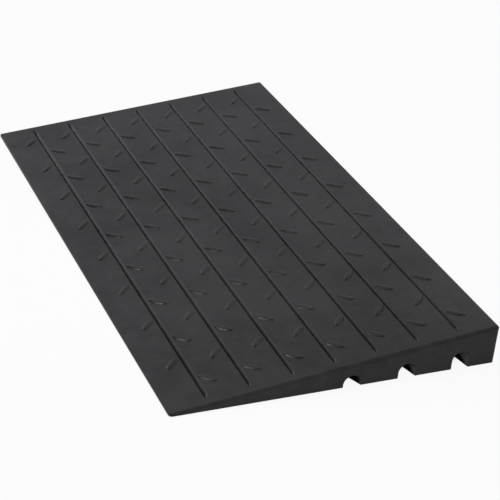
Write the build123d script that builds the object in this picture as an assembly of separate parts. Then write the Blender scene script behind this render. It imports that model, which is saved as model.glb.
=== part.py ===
from build123d import *
import math
import os

# Rubber threshold ramp: a moulded wedge that takes wheels up the step at a door.
# X runs along the door, Y climbs from the thin toe to the heel, and Z is up.
# The origin is on the floor under the middle of the footprint. All sizes are millimetres and degrees.

# Outside of the ramp
ramp_length = 1100.0
ramp_run = 620.0
ramp_rise = 76.2
toe_thickness = 4.0
toe_corner_radius = 8.0
heel_corner_radius = 3.0
toe_edge_radius = 2.0
heel_edge_radius = 2.5
end_edge_radius = 5.0

# Layers: the cap's depth is square to the tread, and the core's front edge stands upright
cap_thickness = 8.0
core_front_height = 8.0

# Arched channels under the core, each with straight walls and a half-round roof
channel_count = 3
channel_width = 34.0
channel_pitch = 107.0
channel_heel_offset = 70.0
channel_low_wall = 5.0
channel_wall_step = 6.0

# Grooves along the tread, with a steep side to the toe and a sloping, well rounded side to the heel.
# The margins go to the deepest line of the first and the last groove, and both ends run out in a curve.
groove_count = 7
groove_toe_margin = 71.6
groove_heel_margin = 73.2
groove_end_margin = 18.5
groove_depth = 4.6
groove_bed_radius = 0.5
groove_toe_slope = 65.0
groove_toe_radius = 1.0
groove_heel_slope = 50.0
groove_heel_radius = 7.0
groove_run_out_radius = 40.0

# Leaf studs beside each groove, on its toe side and its heel side by turns
leaf_count = 16
leaf_end_margin = 70.0
leaf_length = 38.5
leaf_width = 14.4
leaf_tip_width = 6.0
leaf_height = 2.1
leaf_angle = 45.0
leaf_slope = 32.0
leaf_groove_clearance = 0.3

# Worked out from the sizes above
half_length = ramp_length / 2
half_run = ramp_run / 2
slope = math.atan2(ramp_rise - toe_thickness, ramp_run)
tread_middle_height = (ramp_rise + toe_thickness) / 2
tread_plane = Plane(
    origin=(0, 0, tread_middle_height),
    x_dir=(1, 0, 0),
    z_dir=(0, -math.sin(slope), math.cos(slope)),
)
cap_drop = cap_thickness / math.cos(slope)
cutter_reach = ramp_rise


def tread_height(y):
    """Height of the bare tread above the floor at a distance from the middle of the run."""
    return tread_middle_height + y * math.tan(slope)


def spread(first, last, count):
    """Evenly spaced positions from first to last."""
    step = (last - first) / (count - 1)
    return [first + step * index for index in range(count)]


def ramp_wedge():
    """The whole moulding before its grooves, studs and channels."""
    side = make_face(
        Polyline(
            (-half_run, 0),
            (half_run, 0),
            (half_run, ramp_rise),
            (-half_run, toe_thickness),
            close=True,
        )
    )
    heel_top = side.vertices().sort_by(Axis.Y)[-1]
    side = fillet(heel_top, heel_edge_radius)
    toe_top = side.vertices().group_by(Axis.X)[0].sort_by(Axis.Y)[-1]
    side = fillet(toe_top, toe_edge_radius)
    wedge = extrude(Plane.YZ * side, half_length, both=True)

    plan = Rectangle(ramp_length, ramp_run)
    plan = fillet(plan.vertices().group_by(Axis.Y)[0], toe_corner_radius)
    plan = fillet(plan.vertices().group_by(Axis.Y)[-1], heel_corner_radius)
    wedge &= extrude(plan, ramp_rise)

    # A block that lies along the slope, with its long edges rounded, rounds the ramp's ends
    end_round = min(end_edge_radius, cap_thickness)
    slope_block = Box(
        ramp_length,
        2 * ramp_run,
        2 * ramp_rise,
        align=(Align.CENTER, Align.CENTER, Align.MAX),
    )
    long_edges = slope_block.faces().sort_by(Axis.Z)[-1].edges().filter_by(Axis.Y)
    slope_block = fillet(long_edges, end_round)
    return wedge & (tread_plane * slope_block)


def core_space():
    """The space under the cap, from the upright front edge of the core to past the heel."""
    front = (core_front_height + cap_drop - tread_middle_height) / math.tan(slope)
    back = half_run + cutter_reach
    outline = Polyline(
        (front, -cutter_reach),
        (back, -cutter_reach),
        (back, tread_height(back) - cap_drop),
        (front, core_front_height),
        close=True,
    )
    return extrude(Plane.YZ * make_face(outline), half_length + cutter_reach, both=True)


def channel_cutters():
    """One arched bar for each channel, lowest near the toe, running out past both ends."""
    heel_channel = half_run - channel_heel_offset
    radius = channel_width / 2
    cutters = []
    for index in range(channel_count):
        y = heel_channel - channel_pitch * (channel_count - 1 - index)
        wall = channel_low_wall + channel_wall_step * index
        sides = Polyline(
            (y + radius, wall),
            (y + radius, -cutter_reach),
            (y - radius, -cutter_reach),
            (y - radius, wall),
        )
        roof = ThreePointArc((y - radius, wall), (y, wall + radius), (y + radius, wall))
        arch = make_face(sides + roof)
        cutters.append(extrude(Plane.YZ * arch, half_length + cutter_reach, both=True))
    return cutters


def groove_positions():
    """Distances of the grooves' deepest lines up the slope from the middle of the tread."""
    first = (groove_toe_margin - half_run) / math.cos(slope)
    last = (half_run - groove_heel_margin) / math.cos(slope)
    return spread(first, last, groove_count)


def groove_reach(side_slope, edge_radius):
    """Distance from a groove's deepest line to where its rounded edge meets the tread."""
    side = math.radians(side_slope)
    radii = groove_bed_radius + edge_radius
    wall_drop = groove_depth - radii * (1 - math.cos(side))
    return radii * math.sin(side) + wall_drop / math.tan(side)


groove_toe_reach = groove_reach(groove_toe_slope, groove_toe_radius)
groove_heel_reach = groove_reach(groove_heel_slope, groove_heel_radius)


def groove_section():
    """A groove across its length, its deepest line under the tread plane's X axis."""
    heel_edge = JernArc((groove_heel_reach, 0), (-1, 0), groove_heel_radius, groove_heel_slope)
    bed_turn = math.radians(groove_heel_slope)
    bed_start = (
        groove_bed_radius * math.sin(bed_turn),
        groove_bed_radius * (1 - math.cos(bed_turn)) - groove_depth,
    )
    heel_side = Line(heel_edge @ 1, bed_start)
    bed = JernArc(bed_start, heel_side % 1, groove_bed_radius, -groove_heel_slope - groove_toe_slope)
    lip_turn = math.radians(groove_toe_slope)
    lip_start = (
        groove_toe_radius * math.sin(lip_turn) - groove_toe_reach,
        groove_toe_radius * (math.cos(lip_turn) - 1),
    )
    toe_side = Line(bed @ 1, lip_start)
    toe_edge = JernArc(lip_start, toe_side % 1, groove_toe_radius, groove_toe_slope)
    above = Polyline(
        toe_edge @ 1,
        (-groove_toe_reach, groove_depth),
        (groove_heel_reach, groove_depth),
        heel_edge @ 0,
    )
    return make_face(heel_edge + heel_side + bed + toe_side + toe_edge + above)


def groove_side():
    """A groove along its length: a long bed that curves up to the tread at both ends."""
    depth = groove_depth + groove_bed_radius
    turn = math.acos(1 - depth / groove_run_out_radius)
    end = half_length - groove_end_margin
    bed_end = end - groove_run_out_radius * math.sin(turn)
    bed = Line((-bed_end, -depth), (bed_end, -depth))
    near_end = JernArc(bed @ 1, (1, 0), groove_run_out_radius, math.degrees(turn))
    far_end = JernArc(bed @ 0, (-1, 0), groove_run_out_radius, -math.degrees(turn))
    above = Polyline(near_end @ 1, (end, groove_depth), (-end, groove_depth), far_end @ 1)
    return make_face(bed + near_end + far_end + above)


def groove_cutter():
    """One long groove that runs out at both ends."""
    bar = extrude(Plane.YZ * groove_section(), half_length, both=True)
    return bar & extrude(Plane.XZ * groove_side(), groove_toe_reach + groove_heel_reach, both=True)


def leaf_stud():
    """One raised leaf with blunt tips and sloping sides, its length along X, on the tread's own plane."""
    tip = leaf_length / 2
    blunt = leaf_tip_width / 2
    belly = leaf_width / 2
    near_side = ThreePointArc((-tip, -blunt), (0, -belly), (tip, -blunt))
    far_side = ThreePointArc((tip, blunt), (0, belly), (-tip, blunt))
    near_tip = Line(near_side @ 1, far_side @ 0)
    far_tip = Line(far_side @ 1, near_side @ 0)
    outline = make_face(near_side + near_tip + far_side + far_tip)
    return extrude(outline, leaf_height, taper=90 - leaf_slope)


def leaf_places():
    """Places of all the leaves: chevrons that point to -X across each groove."""
    turn = math.radians(leaf_angle)
    tip_reach = leaf_length / 2 * math.sin(turn) + leaf_tip_width / 2 * math.cos(turn)
    groove_middle = (groove_heel_reach - groove_toe_reach) / 2
    groove_half_width = (groove_heel_reach + groove_toe_reach) / 2
    offset = groove_half_width + leaf_groove_clearance + tip_reach
    along = half_length - leaf_end_margin
    places = []
    for groove_y in groove_positions():
        for index, x in enumerate(spread(-along, along, leaf_count)):
            side = 1 if index % 2 else -1
            y = groove_y + groove_middle + side * offset
            places.append(Location((x, y, 0), (0, 0, side * leaf_angle)))
    return places


def tread_cap(wedge):
    """The wearing layer: solid toe, grooved tread and leaf studs."""
    cap = wedge - core_space()
    groove = groove_cutter()
    cap -= [tread_plane * Pos(0, y, 0) * groove for y in groove_positions()]
    leaf = leaf_stud()
    return cap + [tread_plane * place * leaf for place in leaf_places()]


def core_wedge(wedge):
    """The thick body under the cap, with its channels."""
    return (wedge & core_space()) - channel_cutters()


def main():
    os.makedirs("parts", exist_ok=True)
    wedge = ramp_wedge()
    nodes = {"tread_cap": tread_cap(wedge), "core_wedge": core_wedge(wedge)}
    for name, piece in nodes.items():
        export_step(piece, f"parts/{name}.step")


main()
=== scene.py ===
import math

import bmesh
import bpy
from bpy.props import FloatProperty, FloatVectorProperty, IntProperty, PointerProperty
from bpy.types import Operator, Panel, PropertyGroup
from mathutils import Matrix, Vector


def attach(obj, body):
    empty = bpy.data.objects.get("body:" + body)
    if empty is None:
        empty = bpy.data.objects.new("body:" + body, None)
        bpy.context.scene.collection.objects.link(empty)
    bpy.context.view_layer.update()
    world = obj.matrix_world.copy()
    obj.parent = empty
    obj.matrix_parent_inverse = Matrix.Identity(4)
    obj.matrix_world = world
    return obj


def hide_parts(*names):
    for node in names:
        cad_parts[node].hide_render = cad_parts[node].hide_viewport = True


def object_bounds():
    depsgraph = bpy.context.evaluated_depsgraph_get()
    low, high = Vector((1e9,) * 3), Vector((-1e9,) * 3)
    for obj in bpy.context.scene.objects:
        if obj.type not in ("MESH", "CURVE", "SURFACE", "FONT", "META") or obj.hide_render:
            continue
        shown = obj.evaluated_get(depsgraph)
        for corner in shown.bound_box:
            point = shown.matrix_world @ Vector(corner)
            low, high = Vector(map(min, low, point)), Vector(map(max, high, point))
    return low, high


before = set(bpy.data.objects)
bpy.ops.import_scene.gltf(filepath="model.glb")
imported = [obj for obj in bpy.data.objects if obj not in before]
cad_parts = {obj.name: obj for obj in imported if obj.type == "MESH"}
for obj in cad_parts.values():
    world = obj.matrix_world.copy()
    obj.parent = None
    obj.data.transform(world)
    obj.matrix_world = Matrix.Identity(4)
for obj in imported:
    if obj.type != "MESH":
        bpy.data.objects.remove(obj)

bl_info = {
    "name": "Rubber threshold ramp",
    "version": (1, 0, 0),
    "blender": (4, 5, 0),
    "location": "View3D > Sidebar > Ramp",
    "description": "Builds a moulded rubber door ramp with a grooved, studded tread and cable channels",
    "category": "Object",
}

CAD_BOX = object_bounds()
BODY = "root"
HALF_LENGTH = CAD_BOX[1].x
HALF_RUN = CAD_BOX[1].y

# Points nearer than this are one point, and edges sharper than this stay sharp
DOUBLES = 1e-6
SHARP = math.radians(25.0)

# How finely each curve is divided
HEEL_EDGE_STEPS = 6
TOE_EDGE_STEPS = 5
HEEL_SHOULDER_STEPS = 7
GROOVE_BED_STEPS = 7
TOE_SHOULDER_STEPS = 5
RUN_OUT_STATIONS = 13
CAP_END_STEPS = 8
CORE_END_STEPS = 4
CHANNEL_ROOF_STEPS = 28
MOUTH_STEPS = 2
LEAF_SIDES = 16
LEAF_RINGS = 3

# Noise on the rubber: broad clouds, a slow ripple and a fine grain
CLOUD_SCALE = 5.0
CLOUD_DETAIL = 6.0
CLOUD_BREAK_UP = 0.72
RIPPLE_SCALE = 45.0
GRAIN_SCALE = 1500.0
FINE_DETAIL = 2.0
NOISE_MEAN = 0.5

# How far that noise moves the colour, the roughness and the surface
MEAN_BLOOM = 0.5
CLOUD_BLOOM = 3.9
RIPPLE_BLOOM = 1.5
CLOUD_DULLNESS = 0.17
RIPPLE_DULLNESS = 0.10
RIPPLE_HEIGHT = 0.25
GRAIN_HEIGHT = 0.06
BUMP_STRENGTH = 0.35
BUMP_DISTANCE = 0.001

# The floor lies just clear of the underside, and the camera's sensor is in millimetres
FLOOR_DROP = 0.0005
SENSOR_WIDTH = 36.0
WHITE = (1.0, 1.0, 1.0)


def length(name, description, default):
    """A length in metres, shown in the user's units."""
    return FloatProperty(
        name=name,
        description=description,
        default=default,
        min=0.0,
        precision=5,
        subtype="DISTANCE",
        unit="LENGTH",
    )


def angle(name, description, degrees):
    """An angle, given in degrees."""
    return FloatProperty(name=name, description=description, default=math.radians(degrees), subtype="ANGLE")


def portion(name, description, default):
    """A number from 0 to 1."""
    return FloatProperty(name=name, description=description, default=default, min=0.0, max=1.0)


def colour(name, description, default):
    """A linear colour."""
    return FloatVectorProperty(
        name=name, description=description, default=default, size=3, min=0.0, max=1.0, subtype="COLOR"
    )


class RampShape(PropertyGroup):
    """Sizes of the moulding's outside and of its two layers."""

    rise: length("Rise", "Height of the heel before its edge is rounded", 0.0762)
    toe_thickness: length("Toe thickness", "Height of the thin edge", 0.004)
    toe_corner: length("Toe corner", "Radius of the toe's corners in plan", 0.008)
    heel_corner: length("Heel corner", "Radius of the heel's corners in plan", 0.003)
    toe_edge: length("Toe edge", "Radius along the top of the toe", 0.002)
    heel_edge: length("Heel edge", "Radius along the top of the heel", 0.0025)
    end_edge: length("End edge", "Radius along the top of both ends", 0.005)
    cap_depth: length("Cap depth", "Thickness of the wearing layer, square to the tread", 0.008)
    core_front: length("Core front", "Height of the core's front edge", 0.008)


class ChannelShape(PropertyGroup):
    """Sizes of the arched channels in the underside."""

    count: IntProperty(name="Channels", description="Number of channels", default=3, min=1)
    width: length("Width", "Width of each channel", 0.034)
    pitch: length("Pitch", "Distance between channels", 0.107)
    heel_offset: length("Heel offset", "Distance of the last channel from the heel", 0.070)
    low_wall: length("Low wall", "Straight wall of the channel nearest the toe", 0.005)
    wall_step: length("Wall step", "Rise of the straight wall from one channel to the next", 0.006)
    mouth: length("Mouth", "Rounding of the channel mouths", 0.0008)


class TreadPattern(PropertyGroup):
    """Sizes of the grooves and leaf studs."""

    groove_count: IntProperty(name="Grooves", description="Number of grooves", default=7, min=2)
    toe_margin: length("Toe margin", "Toe to the first groove's bed, in plan", 0.0716)
    heel_margin: length("Heel margin", "Last groove's bed to the heel, in plan", 0.0732)
    end_margin: length("End margin", "Ends of the grooves to the ends of the ramp", 0.0170)
    groove_depth: length("Groove depth", "Depth of the groove", 0.0046)
    groove_bed: length("Groove bed", "Radius of the groove's bottom", 0.0005)
    groove_run_out: length("Groove run-out", "Radius of the curve up to the tread at its ends", 0.040)
    heel_shoulder: length("Heel shoulder", "Rounding of the groove's heel edge", 0.007)
    toe_shoulder: length("Toe shoulder", "Rounding of the groove's toe edge", 0.001)
    heel_side: angle("Heel side", "Slope of the groove's heel side", 50.0)
    toe_side: angle("Toe side", "Slope of the groove's toe side", 65.0)
    leaf_count: IntProperty(name="Leaves", description="Leaves along one groove", default=16, min=2)
    leaf_margin: length("Leaf margin", "First and last leaf to the ends of the ramp", 0.070)
    leaf_offset: length("Leaf offset", "Middle of a leaf to the middle of its groove", 0.0210)
    leaf_length: length("Leaf length", "Length from tip to tip", 0.039)
    leaf_width: length("Leaf width", "Width across the middle", 0.0144)
    leaf_height: length("Leaf height", "Height above the tread", 0.0021)
    leaf_round: length("Leaf round", "Rounding between a leaf's sides and its top", 0.007)
    leaf_tip: portion("Leaf tip", "1 is a plain oval, and less is blunter", 0.85)
    leaf_slope: angle("Leaf slope", "Slope of a leaf's sides", 32.0)
    leaf_angle: angle("Leaf angle", "Turn from the groove", 45.0)


class RubberFinish(PropertyGroup):
    """Colours and surface of the rubber."""

    tread: colour("Tread", "Colour of the wearing layer", (0.0055, 0.0055, 0.0057))
    tread_bloom: colour("Tread bloom", "Paler clouds on the tread", (0.0220, 0.0220, 0.0225))
    core: colour("Core", "Colour of the body", (0.0055, 0.0054, 0.0053))
    core_bloom: colour("Core bloom", "Paler clouds on the body", (0.0208, 0.0204, 0.0200))
    roughness: portion("Roughness", "Mean roughness", 0.31)
    gloss: portion("Gloss", "Strength of the gloss", 0.275)


class StageLook(PropertyGroup):
    """Floor, lamps and camera."""

    floor: colour("Floor", "Colour of the floor", (0.92, 0.92, 0.92))
    floor_size: length("Floor size", "Side of the floor", 60.0)
    floor_depth: length("Floor depth", "Thickness of the floor", 0.01)
    floor_white: portion("Floor white", "Share of plain white seen", 0.92)
    floor_shine: portion("Floor shine", "Share of plain white in reflections", 0.56)
    # Painted light and shade on the floor inside the channels: these settings shape a mask in the floor's
    # material, not a lamp.
    lit_reach: FloatProperty(
        name="Lit reach",
        description="Depth of light in the heel channel, by distance from its wall",
        default=5.0,
    )
    lit_fall: FloatProperty(
        name="Lit fall",
        description="Loss of that reach for each metre towards the toe",
        default=12.0,
    )
    lit_edge: length("Lit edge", "Softness of the light's slanting edge in the channels", 0.004)
    lit_depth: length("Lit depth", "How far into a channel the floor stays white", 0.022)
    lit_fade: length("Lit fade", "How far the light takes to fade further in", 0.055)
    # Painted shade: the colour that the floor is given inside the channels.
    shade: colour("Shade", "Colour of the floor in the channels' shade", (0.01, 0.01, 0.01))
    back_tint: colour("Back tint", "Colour of the lamps at the back", (0.93, 0.93, 1.0))
    world_light: portion("World light", "Strength of the light all round", 0.14)
    world_shine: portion("World shine", "Share of the pale surround in reflections", 0.03)
    camera_heading: angle("Heading", "Direction of view from +X", 154.643)
    camera_tilt: angle("Tilt", "Angle of view below level", 29.286)
    camera_roll: angle("Roll", "Turn of the picture", -5.663)
    camera_place: FloatVectorProperty(
        name="Camera place",
        description="Where the camera stands",
        default=(2.4681, -1.1025, 1.4925),
        subtype="TRANSLATION",
    )
    camera_lens: FloatProperty(name="Lens", description="Focal length in millimetres", default=110.84)


class Socket:
    """A socket of a material's node tree, so that sums on values are written as sums."""

    def __init__(self, finish, socket):
        self.finish = finish
        self.socket = socket

    def sum(self, operation, first, second):
        """Adds one Math node."""
        return self.finish.node("ShaderNodeMath", {"operation": operation}, {0: first, 1: second})

    def __add__(self, other):
        return self.sum("ADD", self, other)

    __radd__ = __add__

    def __sub__(self, other):
        return self.sum("SUBTRACT", self, other)

    def __rsub__(self, other):
        return self.sum("SUBTRACT", other, self)

    def __mul__(self, other):
        return self.sum("MULTIPLY", self, other)

    __rmul__ = __mul__

    def __mod__(self, other):
        return self.sum("FLOORED_MODULO", self, other)

    def __truediv__(self, other):
        return self.sum("DIVIDE", self, other)

    def __abs__(self):
        return self.sum("ABSOLUTE", self, 0.0)

    def limited(self):
        """The value, held between 0 and 1."""
        return self.sum("MINIMUM", self.sum("MAXIMUM", self, 0.0), 1.0)


class Finish:
    """The nodes of a new material or world."""

    def __init__(self, owner):
        self.owner = owner
        owner.use_nodes = True
        self.tree = owner.node_tree
        self.tree.nodes.clear()

    def node(self, kind, settings=None, inputs=None, output=0):
        """Adds one node, sets it up, feeds its sockets, and gives back one of its outputs."""
        node = self.tree.nodes.new(kind)
        for key, value in (settings or {}).items():
            setattr(node, key, value)
        for key, value in (inputs or {}).items():
            if isinstance(value, Socket):
                self.tree.links.new(value.socket, node.inputs[key])
            else:
                node.inputs[key].default_value = value
        return Socket(self, node.outputs[output]) if len(node.outputs) else None

    def noise(self, scale, detail, roughness=0.5):
        """Smooth noise on the piece's own coordinates, from 0 to 1."""
        place = self.node("ShaderNodeTexCoord", output="Object")
        return self.node(
            "ShaderNodeTexNoise",
            {"noise_dimensions": "3D"},
            {"Vector": place, "Scale": scale, "Detail": detail, "Roughness": roughness},
        )

    def looks(self):
        """Whether a ray is the camera's own or came through glass, and whether it is a reflection."""
        seen = self.node("ShaderNodeLightPath", output="Is Camera Ray")
        through = self.node("ShaderNodeLightPath", output="Is Transmission Ray")
        shine = self.node("ShaderNodeLightPath", output="Is Glossy Ray")
        return seen + through, shine


def rubber(name, base, bloom, look):
    """Satin black moulded rubber: faint clouds of bloom, a slow ripple and a fine grain."""
    finish = Finish(bpy.data.materials.new(name))
    clouds = finish.noise(CLOUD_SCALE, CLOUD_DETAIL, CLOUD_BREAK_UP) - NOISE_MEAN
    ripple = finish.noise(RIPPLE_SCALE, FINE_DETAIL)
    grain = finish.noise(GRAIN_SCALE, FINE_DETAIL)
    waves = ripple - NOISE_MEAN
    bloomed = (CLOUD_BLOOM * clouds + RIPPLE_BLOOM * waves + MEAN_BLOOM).limited()
    paint = finish.node(
        "ShaderNodeMix",
        {"data_type": "RGBA"},
        {"Factor": bloomed, 6: (*base, 1.0), 7: (*bloom, 1.0)},
        output=2,
    )
    dull = look.roughness + CLOUD_DULLNESS * clouds + RIPPLE_DULLNESS * waves
    height = RIPPLE_HEIGHT * ripple + GRAIN_HEIGHT * grain
    bumps = finish.node(
        "ShaderNodeBump", None, {"Strength": BUMP_STRENGTH, "Distance": BUMP_DISTANCE, "Height": height}
    )
    surface = finish.node(
        "ShaderNodeBsdfPrincipled",
        None,
        {
            "Base Color": paint,
            "Roughness": dull,
            "Specular IOR Level": look.gloss,
            "Normal": bumps,
        },
    )
    finish.node("ShaderNodeOutputMaterial", None, {"Surface": surface})
    return finish.owner


def slope_of(shape):
    """Angle of the tread above level."""
    return math.atan2(shape.rise - shape.toe_thickness, 2 * HALF_RUN)


def middle_height(shape):
    """Height of the tread at the middle of the run."""
    return (shape.rise + shape.toe_thickness) / 2


def tread_point(shape, along, off):
    """A point of the middle section: along the tread up from its middle, and off it, square to it."""
    slope = slope_of(shape)
    y = along * math.cos(slope) - off * math.sin(slope)
    z = middle_height(shape) + along * math.sin(slope) + off * math.cos(slope)
    return Vector((0.0, y, z))


def on_tread(shape, point):
    """The along and off of a point of the middle section."""
    slope = slope_of(shape)
    height = point.z - middle_height(shape)
    along = point.y * math.cos(slope) + height * math.sin(slope)
    off = height * math.cos(slope) - point.y * math.sin(slope)
    return along, off


def spread(first, last, count):
    """Evenly spaced values from first to last."""
    return [first + (last - first) * index / (count - 1) for index in range(count)]


def rounding(radius, distance):
    """How far a quarter-round edge stands back at a distance from the end that it rounds."""
    if distance >= radius:
        return 0.0
    return radius - math.sqrt(radius**2 - (radius - distance) ** 2)


def core_front(shape):
    """Distance of the core's front edge from the middle of the run."""
    slope = slope_of(shape)
    drop = shape.cap_depth / math.cos(slope)
    return (shape.core_front + drop - middle_height(shape)) / math.tan(slope)


def parting_at_heel(shape):
    """The point of the heel face where the cap and the core meet."""
    parting = tread_point(shape, 0.0, -shape.cap_depth)
    return (0.0, HALF_RUN, parting.z + (HALF_RUN - parting.y) * math.tan(slope_of(shape)))


def drawn_in(shape, point, x, y):
    """A low point of an outline, drawn in to y at a station, and down the slope if it is on the parting."""
    fall = (point.y - y) * math.tan(slope_of(shape)) if point.z > DOUBLES else 0.0
    return Vector((x, y, point.z - fall))


def of_kind(items, kind):
    """The vertices or the edges of what an operator made."""
    return [item for item in items if isinstance(item, kind)]


class Section:
    """A closed outline across the ramp, drawn by moving and spinning one vertex."""

    def __init__(self, start):
        self.bm = bmesh.new()
        self.pen = self.bm.verts.new(start)

    def line(self, point):
        """Draws a straight line to a point."""
        made = bmesh.ops.extrude_vert_indiv(self.bm, verts=[self.pen])
        self.pen = made["verts"][0]
        self.pen.co = point

    def arc(self, centre, turn, steps):
        """Draws an arc round a centre, turning left where the turn is positive."""
        made = bmesh.ops.spin(
            self.bm,
            geom=[self.pen],
            cent=centre,
            axis=(1, 0, 0),
            angle=turn,
            steps=steps,
            use_duplicate=False,
        )
        self.pen = of_kind(made["geom_last"], bmesh.types.BMVert)[0]

    def closed(self):
        """Closes the outline and gives back its bmesh."""
        self.bm.verts.ensure_lookup_table()
        self.bm.edges.new((self.pen, self.bm.verts[0]))
        return self.bm


def lofted(bm, stations, place):
    """Pulls an outline along X through the stations, then closes it and mirrors it to the other end.

    place gives where a point of the middle outline is at a station.
    """
    middle = bm.verts.layers.float_vector.new("middle")
    for vert in bm.verts:
        vert[middle] = vert.co
    ring = list(bm.edges)
    for x in stations:
        made = bmesh.ops.extrude_edge_only(bm, edges=ring)["geom"]
        moved = set(of_kind(made, bmesh.types.BMVert))
        ring = [edge for edge in of_kind(made, bmesh.types.BMEdge) if moved.issuperset(edge.verts)]
        for vert in moved:
            vert.co = place(vert[middle], x)
    bmesh.ops.contextual_create(bm, geom=ring)
    bmesh.ops.mirror(bm, geom=[*bm.verts, *bm.edges, *bm.faces], axis="X", merge_dist=DOUBLES)
    bmesh.ops.remove_doubles(bm, verts=bm.verts, dist=DOUBLES)
    bmesh.ops.dissolve_degenerate(bm, edges=bm.edges, dist=DOUBLES)
    bmesh.ops.recalc_face_normals(bm, faces=bm.faces)


def end_stations(radius, steps):
    """Stations that follow a quarter-round corner to the end of the ramp."""
    return [
        HALF_LENGTH - radius * (1 - math.sin(math.pi / 2 * index / steps)) for index in range(steps + 1)
    ]


def groove_places(shape, tread):
    """Places of the grooves along the tread."""
    slope = slope_of(shape)
    first = (tread.toe_margin - HALF_RUN) / math.cos(slope)
    last = (HALF_RUN - tread.heel_margin) / math.cos(slope)
    return spread(first, last, tread.groove_count)


def groove_reach(tread, side, shoulder):
    """Distance from the groove's bed to the edge of the tread, for a side's slope and its shoulder."""
    radii = tread.groove_bed + shoulder
    straight = (tread.groove_depth - radii * (1 - math.cos(side))) / math.tan(side)
    return radii * math.sin(side) + straight


def groove_edges(tread):
    """Distances from the groove's bed to its toe edge and its heel edge."""
    toe = groove_reach(tread, tread.toe_side, tread.toe_shoulder)
    heel = groove_reach(tread, tread.heel_side, tread.heel_shoulder)
    return toe, heel


def cap_section(shape, tread):
    """The cap across its middle: toe, parting step, heel, and the tread with its grooves."""
    slope = slope_of(shape)
    front = core_front(shape)
    section = Section((0.0, -HALF_RUN, 0.0))
    section.line((0.0, front, 0.0))
    section.line((0.0, front, shape.core_front))
    section.line(parting_at_heel(shape))

    edge = shape.heel_edge
    heel = tread_point(shape, (HALF_RUN - edge - edge * math.sin(slope)) / math.cos(slope), -edge)
    section.line(heel + Vector((0.0, edge, 0.0)))
    section.arc(heel, math.pi / 2 + slope, HEEL_EDGE_STEPS)

    toe_reach, heel_reach = groove_edges(tread)
    toe_side, toe_shoulder = tread.toe_side, tread.toe_shoulder
    heel_side, heel_shoulder = tread.heel_side, tread.heel_shoulder
    depth, bed = tread.groove_depth, tread.groove_bed
    heel_foot = (bed * math.sin(heel_side), bed * (1 - math.cos(heel_side)) - depth)
    toe_brow = (toe_shoulder * math.sin(toe_side) - toe_reach, toe_shoulder * (math.cos(toe_side) - 1))
    for place in reversed(groove_places(shape, tread)):
        section.line(tread_point(shape, place + heel_reach, 0.0))
        brow = tread_point(shape, place + heel_reach, -heel_shoulder)
        section.arc(brow, heel_side, HEEL_SHOULDER_STEPS)
        section.line(tread_point(shape, place + heel_foot[0], heel_foot[1]))
        section.arc(tread_point(shape, place, bed - depth), -heel_side - toe_side, GROOVE_BED_STEPS)
        section.line(tread_point(shape, place + toe_brow[0], toe_brow[1]))
        lip = tread_point(shape, place - toe_reach, -toe_shoulder)
        section.arc(lip, toe_side, TOE_SHOULDER_STEPS)

    edge = shape.toe_edge
    toe = tread_point(shape, (edge - HALF_RUN - edge * math.sin(slope)) / math.cos(slope), -edge)
    section.line(tread_point(shape, on_tread(shape, toe)[0], 0.0))
    section.arc(toe, math.pi / 2 - slope, TOE_EDGE_STEPS)
    return section.closed()


def cap_mesh(shape, tread):
    """The cap without its studs."""
    slope = slope_of(shape)
    grooves = groove_places(shape, tread)
    toe_reach, heel_reach = groove_edges(tread)
    depth, run_out = tread.groove_depth, tread.groove_run_out
    turn = math.acos(1 - depth / run_out)
    climb_length = run_out * math.sin(turn)
    groove_end = HALF_LENGTH - tread.end_margin
    bed_end = groove_end - climb_length

    def groove_share(x):
        """How much of a groove's depth and width is left at a station."""
        climb = min(max(0.0, x - bed_end), climb_length)
        return max(0.0, 1 - (run_out - math.sqrt(run_out**2 - climb**2)) / depth)

    def place(point, x):
        """Where a point of the middle outline is at a station."""
        distance = HALF_LENGTH - x
        toe_back = rounding(shape.toe_corner, distance)
        heel_back = rounding(shape.heel_corner, distance)
        drop = rounding(shape.end_edge, distance)
        along, off = on_tread(shape, point)
        if point.z < DOUBLES or off < DOUBLES - shape.cap_depth:
            y = min(max(point.y, toe_back - HALF_RUN), HALF_RUN - heel_back)
            return drawn_in(shape, point, x, y)
        for groove in grooves:
            if -toe_reach - DOUBLES <= along - groove <= heel_reach + DOUBLES:
                share = groove_share(x)
                along = groove + (along - groove) * share
                off *= share
        if point.y < shape.toe_edge - HALF_RUN:
            along += toe_back / math.cos(slope)
        if point.y > HALF_RUN - shape.heel_edge:
            along -= heel_back / math.cos(slope)
        off = off * (1 - drop / shape.end_edge) - drop
        return tread_point(shape, along, off) + Vector((x, 0.0, 0.0))

    def past_groove(edge):
        """Whether an edge is the line that a groove leaves between its end and the ramp's."""
        if any(abs(vert.co.x) <= groove_end - DOUBLES for vert in edge.verts):
            return False
        alongs = [on_tread(shape, vert.co)[0] for vert in edge.verts]
        return any(all(abs(along - groove) < DOUBLES for along in alongs) for groove in grooves)

    stations = [bed_end + run_out * math.sin(climbed) for climbed in spread(0.0, turn, RUN_OUT_STATIONS)]
    stations += end_stations(shape.toe_corner, CAP_END_STEPS)
    bm = cap_section(shape, tread)
    lofted(bm, stations, place)
    left_over = [edge for edge in bm.edges if past_groove(edge)]
    bmesh.ops.dissolve_edges(bm, edges=left_over, use_verts=True)
    return bm


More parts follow.
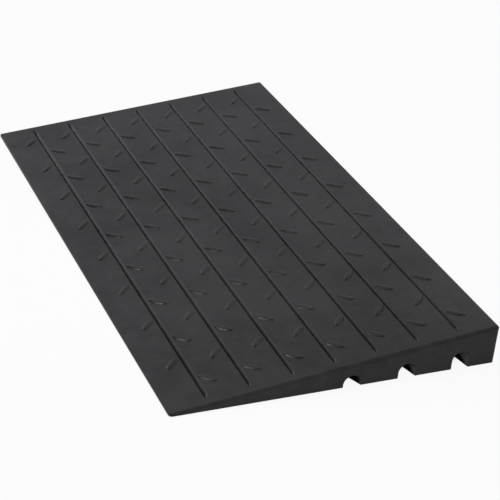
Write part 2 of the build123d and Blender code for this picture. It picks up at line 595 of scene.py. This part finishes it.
def leaf_mesh(tread):
    """One leaf: sloping sides, carried on below the tread, and a rounded shoulder round its flat top."""
    slope = tread.leaf_slope
    rise = tread.leaf_height - tread.leaf_round * (1 - math.cos(slope))
    run = rise / math.tan(slope)
    root = tread.leaf_height / 2
    rings = [(-root / math.tan(slope), -root)]
    for turn in spread(slope, 0.0, LEAF_RINGS):
        inward = run + tread.leaf_round * (math.sin(slope) - math.sin(turn))
        upward = rise + tread.leaf_round * (math.cos(turn) - math.cos(slope))
        rings.append((inward, upward))

    bm = bmesh.new()
    half_step = Matrix.Rotation(math.pi / LEAF_SIDES, 4, "Z")
    bmesh.ops.create_circle(bm, cap_ends=True, radius=1.0, segments=LEAF_SIDES, matrix=half_step)
    for vert in bm.verts:
        vert.co.y = math.copysign(abs(vert.co.y) ** tread.leaf_tip, vert.co.y)
    bm.faces.ensure_lookup_table()
    top = bm.faces[0]
    size = Vector((1.0, 1.0))
    for ring, (inward, upward) in enumerate(rings):
        if ring:
            top = bmesh.ops.extrude_discrete_faces(bm, faces=[top])["faces"][0]
        wanted = Vector((tread.leaf_length / 2 - inward, tread.leaf_width / 2 - inward))
        bmesh.ops.scale(bm, verts=top.verts, vec=(wanted.x / size.x, wanted.y / size.y, 1.0))
        for vert in top.verts:
            vert.co.z = upward
        size = wanted
    bmesh.ops.holes_fill(bm, edges=[edge for edge in bm.edges if edge.is_boundary])
    bmesh.ops.recalc_face_normals(bm, faces=bm.faces)
    mesh = bpy.data.meshes.new("leaf")
    bm.to_mesh(mesh)
    bm.free()
    return mesh


def studs_mesh(shape, tread):
    """All the leaves, on the toe side and the heel side of each groove by turns, pointing to -X."""
    leaf = leaf_mesh(tread)
    tilt = Matrix.Rotation(slope_of(shape), 4, "X")
    reach = HALF_LENGTH - tread.leaf_margin
    toe_reach, heel_reach = groove_edges(tread)
    middle = (heel_reach - toe_reach) / 2
    bm = bmesh.new()
    for groove in groove_places(shape, tread):
        for index, x in enumerate(spread(-reach, reach, tread.leaf_count)):
            side = 1 if index % 2 else -1
            along = groove + middle + side * tread.leaf_offset
            spot = tread_point(shape, along, 0.0) + Vector((x, 0.0, 0.0))
            bm.from_mesh(leaf)
            turn = Matrix.Rotation(side * tread.leaf_angle, 4, "Z")
            verts = list(bm.verts)[-len(leaf.vertices):]
            bmesh.ops.transform(bm, matrix=Matrix.Translation(spot) @ tilt @ turn, verts=verts)
    bpy.data.meshes.remove(leaf)
    return bm


def channel_place(channels, index):
    """Distance of a channel's middle from the middle of the run. The first is nearest the toe."""
    return HALF_RUN - channels.heel_offset - channels.pitch * (channels.count - 1 - index)


def channel_wall(channels, index):
    """Height at which a channel's straight walls turn into its roof."""
    return channels.low_wall + channels.wall_step * index


def core_section(shape, channels):
    """The core across its middle, with its channels."""
    front = core_front(shape)
    radius = channels.width / 2
    section = Section((0.0, front, 0.0))
    for index in range(channels.count):
        y = channel_place(channels, index)
        wall = channel_wall(channels, index)
        section.line((0.0, y - radius, 0.0))
        section.line((0.0, y - radius, wall))
        section.arc((0.0, y, wall), -math.pi, CHANNEL_ROOF_STEPS)
        section.line((0.0, y + radius, 0.0))
    section.line((0.0, HALF_RUN, 0.0))
    section.line(parting_at_heel(shape))
    section.line((0.0, front, shape.core_front))
    return section.closed()


def core_mesh(shape, channels):
    """The core, with its channel mouths eased."""
    radius = channels.width / 2
    first_channel = channel_place(channels, 0)

    def place(point, x):
        """Where a point of the middle outline is at a station."""
        heel_back = rounding(shape.heel_corner, HALF_LENGTH - x)
        return drawn_in(shape, point, x, min(point.y, HALF_RUN - heel_back))

    def on_mouth(vert):
        """Whether a vertex is on the outline of a channel at an end of the ramp."""
        index = round((vert.co.y - first_channel) / channels.pitch)
        off_middle = abs(vert.co.y - first_channel - index * channels.pitch)
        crown = channel_wall(channels, index) + radius
        at_end = abs(vert.co.x) > HALF_LENGTH - DOUBLES
        return at_end and off_middle < radius + DOUBLES and vert.co.z < crown + DOUBLES

    bm = core_section(shape, channels)
    lofted(bm, end_stations(shape.heel_corner, CORE_END_STEPS), place)
    mouths = [
        edge
        for edge in bm.edges
        if all(on_mouth(vert) for vert in edge.verts) and any(vert.co.z > DOUBLES for vert in edge.verts)
    ]
    bmesh.ops.bevel(
        bm,
        geom=mouths,
        offset=channels.mouth,
        affect="EDGES",
        segments=MOUTH_STEPS,
        profile=0.5,
        material=-1,
    )
    bmesh.ops.remove_doubles(bm, verts=bm.verts, dist=DOUBLES)
    return bm


def new_piece(context, name, bm):
    """A piece of the ramp or the stage from its bmesh."""
    mesh = bpy.data.meshes.new(name)
    bm.to_mesh(mesh)
    bm.free()
    piece = bpy.data.objects.new(name, mesh)
    context.scene.collection.objects.link(piece)
    return piece


def dress(piece, material):
    """Gives a piece its material, and shading that keeps flat faces flat and sharp edges sharp."""
    mesh = piece.data
    mesh.shade_smooth()
    mesh.set_sharp_from_angle(angle=SHARP)
    mesh.materials.clear()
    mesh.materials.append(material)
    normals = piece.modifiers.new("flat_faces", "WEIGHTED_NORMAL")
    normals.keep_sharp = True


def join_studs(context, piece, studs):
    """Grows the studs out of the piece, as one skin."""
    union = piece.modifiers.new("studs", "BOOLEAN")
    union.operation = "UNION"
    union.solver = "EXACT"
    union.object = studs
    context.view_layer.update()
    grown = bpy.data.meshes.new_from_object(piece.evaluated_get(context.evaluated_depsgraph_get()))
    piece.modifiers.clear()
    plain = piece.data
    piece.data = grown
    grown.name = piece.name
    bpy.data.meshes.remove(plain)
    loose = studs.data
    bpy.data.objects.remove(studs)
    bpy.data.meshes.remove(loose)


class RAMP_OT_tread(Operator):
    """Model the wearing layer: thin toe, grooved tread and leaf studs"""

    bl_idname = "ramp.tread"
    bl_label = "Tread cap"

    def execute(self, context):
        scene = context.scene
        look = scene.ramp_finish
        piece = new_piece(context, "tread", cap_mesh(scene.ramp_shape, scene.ramp_tread))
        studs = new_piece(context, "studs", studs_mesh(scene.ramp_shape, scene.ramp_tread))
        join_studs(context, piece, studs)
        dress(piece, rubber("tread_rubber", look.tread, look.tread_bloom, look))
        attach(piece, BODY)
        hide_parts("tread_cap")
        return {"FINISHED"}


class RAMP_OT_core(Operator):
    """Model the thick body with its cable channels"""

    bl_idname = "ramp.core"
    bl_label = "Core wedge"

    def execute(self, context):
        scene = context.scene
        look = scene.ramp_finish
        piece = new_piece(context, "core", core_mesh(scene.ramp_shape, scene.ramp_channels))
        dress(piece, rubber("core_rubber", look.core, look.core_bloom, look))
        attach(piece, BODY)
        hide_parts("core_wedge")
        return {"FINISHED"}


def painted_channel_shade(finish, look, channels):
    """Painted shade: where the floor's upper face is painted near-black inside the channels, from 0 to 1.

    The mask stands in for light that comes in at the ends past each channel's heel wall, with a slanting
    edge, and fades with depth; this shade is painted into the floor, not cast by the lamps.
    """
    place = finish.node("ShaderNodeTexCoord", output="Object")
    x, y, z = (finish.node("ShaderNodeSeparateXYZ", None, {0: place}, output=axis) for axis in "XYZ")
    inside = HALF_LENGTH - abs(x)
    under = (inside / look.lit_edge).limited() * ((HALF_RUN - abs(y)) / look.lit_edge).limited()
    upper = (1.0 + (z + FLOOR_DROP) / look.floor_depth).limited()
    rib = channels.pitch - channels.width
    down = HALF_RUN - channels.heel_offset + channels.width / 2 - y
    from_wall = (down + rib / 2) % channels.pitch - rib / 2
    reach = (look.lit_reach - look.lit_fall * down) * from_wall
    slant = ((inside - reach) / look.lit_edge).limited()
    deep = ((inside - look.lit_depth) / look.lit_fade).limited()
    unlit = 1.0 - (1.0 - slant) * (1.0 - deep)
    return under * upper * unlit


def floor_finish(look, channels):
    """A matt pale floor that the camera sees nearly white, with the shadow kept and painted shade inside the
    channels.
    """
    finish = Finish(bpy.data.materials.new("floor"))
    matt = finish.node("ShaderNodeBsdfDiffuse", None, {"Color": (*look.floor, 1.0)})
    white = finish.node("ShaderNodeEmission", None, {"Color": (*WHITE, 1.0), "Strength": 1.0})
    # Painted shade: a near-black matt colour that the floor takes inside the channels, whatever the lamps
    # do.
    painted_shade = finish.node("ShaderNodeBsdfDiffuse", None, {"Color": (*look.shade, 1.0)})
    seen, shine = finish.looks()
    whitened = look.floor_white * seen + look.floor_shine * shine
    pale = finish.node("ShaderNodeMixShader", None, {0: whitened, 1: matt, 2: white})
    # Painted shade: the mask swaps the pale floor for the near-black colour inside the channels.
    shaded = painted_channel_shade(finish, look, channels)
    mixed = finish.node("ShaderNodeMixShader", None, {0: shaded, 1: pale, 2: painted_shade})
    finish.node("ShaderNodeOutputMaterial", None, {"Surface": mixed})
    return finish.owner


def studio_world(look):
    """Even light all round, from a surround that the camera sees as pale as the floor."""
    finish = Finish(bpy.data.worlds.new("studio"))
    seen, shine = finish.looks()
    whitened = seen + look.world_shine * shine
    strength = look.world_light + (look.floor_white - look.world_light) * whitened
    light = finish.node("ShaderNodeBackground", None, {"Color": (*WHITE, 1.0), "Strength": strength})
    finish.node("ShaderNodeOutputWorld", None, {"Surface": light})
    return finish.owner


def lay_floor(context, look, channels):
    """A thin slab that the ramp lies on."""
    bm = bmesh.new()
    size = Matrix.Diagonal((look.floor_size, look.floor_size, look.floor_depth, 1.0))
    drop = Matrix.Translation((0.0, 0.0, -FLOOR_DROP - look.floor_depth / 2))
    bmesh.ops.create_cube(bm, size=1.0, matrix=drop @ size)
    floor = new_piece(context, "floor", bm)
    floor.data.materials.append(floor_finish(look, channels))


def softbox(context, name, place, aim, size, power, tint=WHITE):
    """A rectangular area lamp that faces a point, with its width and height in metres and power in watts."""
    lamp = bpy.data.lights.new(name, "AREA")
    lamp.shape = "RECTANGLE"
    lamp.size, lamp.size_y = size
    lamp.energy = power
    lamp.color = tint
    box = bpy.data.objects.new(name, lamp)
    box.location = place
    box.rotation_euler = (Vector(aim) - Vector(place)).to_track_quat("-Z", "Y").to_euler()
    context.scene.collection.objects.link(box)


def hang_lamps(context, tint):
    """Tinted lamps past the far end, which the tread mirrors, and plain ones round the other sides."""
    softbox(context, "back_bank", (-3.0, 1.35, 2.75), (0.0, 1.35, 0.2), (3.3, 1.5), 10.9, tint)
    softbox(context, "back_low", (-3.4, 0.15, 1.0), (0.0, 0.15, 0.2), (1.9, 2.0), 5.2, tint)
    softbox(context, "back_right", (-3.4, 2.05, 1.4), (0.0, 2.05, 0.2), (1.9, 0.8), 3.0, tint)
    softbox(context, "right_low", (-3.4, 2.05, 0.5), (0.0, 2.05, 0.2), (1.9, 1.0), 1.6, tint)
    softbox(context, "far_left", (-3.05, -1.2, 2.5), (0.0, 0.0, 0.0), (1.3, 2.2), 10.0, tint)
    softbox(context, "back_strip", (-3.0, -0.55, 2.7), (0.0, -0.55, 0.2), (0.6, 2.0), 7.2, tint)
    softbox(context, "low_strip", (-3.0, -0.45, 1.5), (0.0, -0.45, 0.2), (0.5, 0.8), 1.2, tint)
    softbox(context, "far_low", (-3.2, -1.45, 0.5), (-0.4, 0.0, 0.0), (0.8, 0.9), 8.5, tint)
    softbox(context, "left_end", (-2.45, -2.7, 1.6), (-0.5, 0.0, 0.0), (0.8, 0.7), 3.6)
    softbox(context, "front_left", (0.12, -0.72, 1.2), (0.12, -0.1, 0.0), (0.38, 0.13), 3.7)
    softbox(context, "right_fill", (-1.75, 2.3, 1.75), (0.0, 0.0, 0.0), (1.6, 1.4), 3.5)
    softbox(context, "right_high", (-0.3, 1.9, 2.6), (0.0, 0.0, 0.0), (2.2, 1.2), 9.0)
    softbox(context, "near_high", (1.9, 0.9, 3.0), (0.5, 0.0, 0.0), (2.4, 1.8), 18.0)
    softbox(context, "near_low", (3.4, 1.1, 1.2), (0.5, 0.0, 0.0), (2.2, 2.2), 10.0)
    softbox(context, "top_card", (-0.4, -0.4, 3.2), (-0.4, -0.4, 0.0), (1.6, 1.4), 8.5)
    softbox(context, "back_card", (-1.65, 0.3, 3.2), (-1.65, 0.3, 0.0), (1.1, 1.0), 4.0)


def stand_camera(context, look):
    """A camera that stands and looks as the stage's settings say."""
    heading, tilt, roll = look.camera_heading, look.camera_tilt, look.camera_roll
    ahead = Vector(
        (math.cos(heading) * math.cos(tilt), math.sin(heading) * math.cos(tilt), -math.sin(tilt))
    )
    right = ahead.cross(Vector((0, 0, 1))).normalized()
    down = ahead.cross(right)
    across = math.cos(roll) * right + math.sin(roll) * down
    under = math.cos(roll) * down - math.sin(roll) * right
    lens = bpy.data.cameras.new("camera")
    lens.lens = look.camera_lens
    lens.sensor_width = SENSOR_WIDTH
    camera = bpy.data.objects.new("camera", lens)
    turn = Matrix((across, -under, -ahead)).transposed()
    camera.matrix_world = Matrix.Translation(look.camera_place) @ turn.to_4x4()
    context.scene.collection.objects.link(camera)
    context.scene.camera = camera


class RAMP_OT_stage(Operator):
    """Set out the floor, the lamps and the camera"""

    bl_idname = "ramp.stage"
    bl_label = "Stage"

    def execute(self, context):
        scene = context.scene
        look = scene.ramp_stage
        lay_floor(context, look, scene.ramp_channels)
        scene.world = studio_world(look)
        hang_lamps(context, look.back_tint)
        stand_camera(context, look)
        scene.view_settings.view_transform = "Standard"
        return {"FINISHED"}


class RAMP_PT_panel(Panel):
    """Lists the ramp's settings and the steps that build it"""

    bl_idname = "RAMP_PT_panel"
    bl_label = "Threshold ramp"
    bl_space_type = "VIEW_3D"
    bl_region_type = "UI"
    bl_category = "Ramp"

    def draw(self, context):
        for holder in HOLDERS:
            settings = getattr(context.scene, holder)
            box = self.layout.box()
            for name in settings.__annotations__:
                box.prop(settings, name)
        for step in STEPS:
            self.layout.operator(step.bl_idname)


HOLDERS = {
    "ramp_shape": RampShape,
    "ramp_channels": ChannelShape,
    "ramp_tread": TreadPattern,
    "ramp_finish": RubberFinish,
    "ramp_stage": StageLook,
}
STEPS = (RAMP_OT_tread, RAMP_OT_core, RAMP_OT_stage)


def register():
    for kind in (*HOLDERS.values(), *STEPS, RAMP_PT_panel):
        bpy.utils.register_class(kind)
    for holder, kind in HOLDERS.items():
        setattr(bpy.types.Scene, holder, PointerProperty(type=kind))


def unregister():
    for holder in HOLDERS:
        delattr(bpy.types.Scene, holder)
    for kind in (RAMP_PT_panel, *reversed(STEPS), *reversed(HOLDERS.values())):
        bpy.utils.unregister_class(kind)


def main():
    register()
    bpy.ops.ramp.tread()
    bpy.ops.ramp.core()
    bpy.ops.ramp.stage()


if __name__ == "__main__":
    main()
